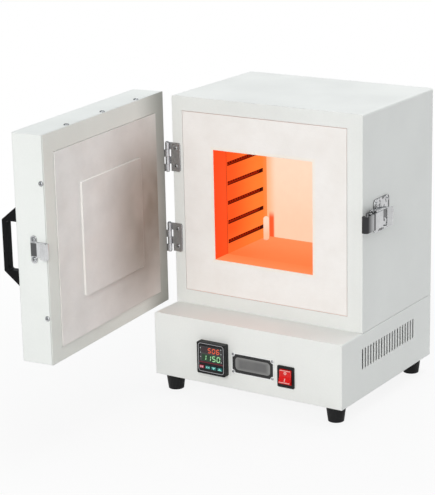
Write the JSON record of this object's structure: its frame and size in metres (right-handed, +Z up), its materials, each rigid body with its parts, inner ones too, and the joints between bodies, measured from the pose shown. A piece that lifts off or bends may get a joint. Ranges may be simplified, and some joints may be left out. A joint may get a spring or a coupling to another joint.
{
  "type": "jewellery kiln",
  "caption": "Bench kiln with a side-hung insulated door, a square chamber with grooved heater walls, a toggle latch, and a controller and rocker switch in its base.",
  "frame": {"origin": "on the floor, under the middle of the base's footprint", "axes": "+X to the right seen from the front, +Y to the back, +Z up; the front faces -Y"},
  "size_m": [0.3955, 0.5821, 0.4424],
  "materials": {
    "white_paint": "satin",
    "door_white": "satin",
    "grey_paint": "satin",
    "dark_steel": "satin",
    "stainless": "satin",
    "polished_steel": "polished",
    "aluminium": "satin",
    "foot_rubber": "matte",
    "gland_plastic": "matte",
    "black_plastic": "matte",
    "handle_black": "satin",
    "window_dark": "gloss",
    "key_red": "satin",
    "key_green": "satin",
    "rocker_red": "gloss",
    "board_pale": "matte",
    "board_door": "matte",
    "board_inner": "matte",
    "board_hot": "matte",
    "plate_hot": "matte",
    "wall_hot": "matte",
    "coil_wire": "matte",
    "sheath": "satin",
    "terminal": "gloss"
  },
  "bodies": {
    "cabinet": {"base_shell": "white_paint", "base_floor": "white_paint", "base_back": "white_paint", "cable_gland": "gland_plastic", "foot_front_left": "foot_rubber", "foot_front_right": "foot_rubber", "foot_rear_left": "foot_rubber", "foot_rear_right": "foot_rubber", "foot_screws": "stainless", "casing_shell": "white_paint", "casing_back": "white_paint", "cover_screws": "stainless", "front_board": "board_pale", "hearth_board": "board_hot", "roof_board": "board_hot", "side_board_left": "board_inner", "side_board_right": "board_inner", "rear_board": "wall_hot", "heater_plate_left": "plate_hot", "heater_plate_right": "plate_hot", "heating_coil_left": "coil_wire", "heating_coil_right": "coil_wire", "coil_terminals": "terminal", "thermocouple": "sheath", "relay": "black_plastic", "heat_sink": "aluminium", "controller_case": "black_plastic", "controller_window": "window_dark", "controller_clamp": "black_plastic", "bare_plate": "dark_steel", "plate_screws": "stainless", "switch_bezel": "black_plastic", "latch_base": "stainless", "latch_rivets": "stainless", "lever_pin": "stainless", "hinge_upper_casing_leaf": "stainless", "hinge_lower_casing_leaf": "stainless", "hinge_upper_pin": "stainless", "hinge_lower_pin": "stainless", "casing_hinge_screws": "stainless"},
    "door": {"hinge_upper_door_leaf": "stainless", "hinge_lower_door_leaf": "stainless", "door_hinge_screws": "stainless", "door_pan": "door_white", "door_frame": "grey_paint", "door_board": "board_door", "door_insulation": "board_inner", "door_handle": "handle_black", "door_screws": "stainless", "keeper": "stainless"},
    "latch_lever": {"latch_lever": "polished_steel", "claw_pin": "stainless"},
    "latch_claw": {"latch_claw": "polished_steel"},
    "rocker": {"switch_rocker": "rocker_red"},
    "key_1": {"controller_key_1": "key_red"},
    "key_2": {"controller_key_2": "key_green"},
    "key_3": {"controller_key_3": "key_green"},
    "key_4": {"controller_key_4": "key_green"}
  },
  "joints": [
    {"name": "door_hinge", "type": "hinge", "parent": "cabinet", "child": "door", "pos_m": [-0.1653, -0.0807, 0.2821], "axis": [0, 0, -1], "range_deg": [-84.5, 95.5]},
    {"name": "lever_pivot", "type": "hinge", "parent": "cabinet", "child": "latch_lever", "pos_m": [0.1635, -0.0625, 0.284], "axis": [0, 0, -1], "range_deg": [0, 100]},
    {"name": "claw_pivot", "type": "hinge", "parent": "latch_lever", "child": "latch_claw", "pos_m": [0.1635, -0.0515, 0.284], "axis": [0, 0, -1], "range_deg": [-100, 0]},
    {"name": "rocker_pivot", "type": "hinge", "parent": "cabinet", "child": "rocker", "pos_m": [0.0676, -0.1365, 0.0592], "axis": [1, 0, 0], "range_deg": [0, 20]},
    {"name": "key_1_press", "type": "slide", "parent": "cabinet", "child": "key_1", "axis": [0, 1, 0], "range_m": [0, 0.0008], "stiffness_N_per_m": 300},
    {"name": "key_2_press", "type": "slide", "parent": "cabinet", "child": "key_2", "axis": [0, 1, 0], "range_m": [0, 0.0008], "stiffness_N_per_m": 300},
    {"name": "key_3_press", "type": "slide", "parent": "cabinet", "child": "key_3", "axis": [0, 1, 0], "range_m": [0, 0.0008], "stiffness_N_per_m": 300},
    {"name": "key_4_press", "type": "slide", "parent": "cabinet", "child": "key_4", "axis": [0, 1, 0], "range_m": [0, 0.0008], "stiffness_N_per_m": 300}
  ],
  "couplings": [
    {"joint": "claw_pivot", "follows": "lever_pivot", "ratio": -1}
  ]
}
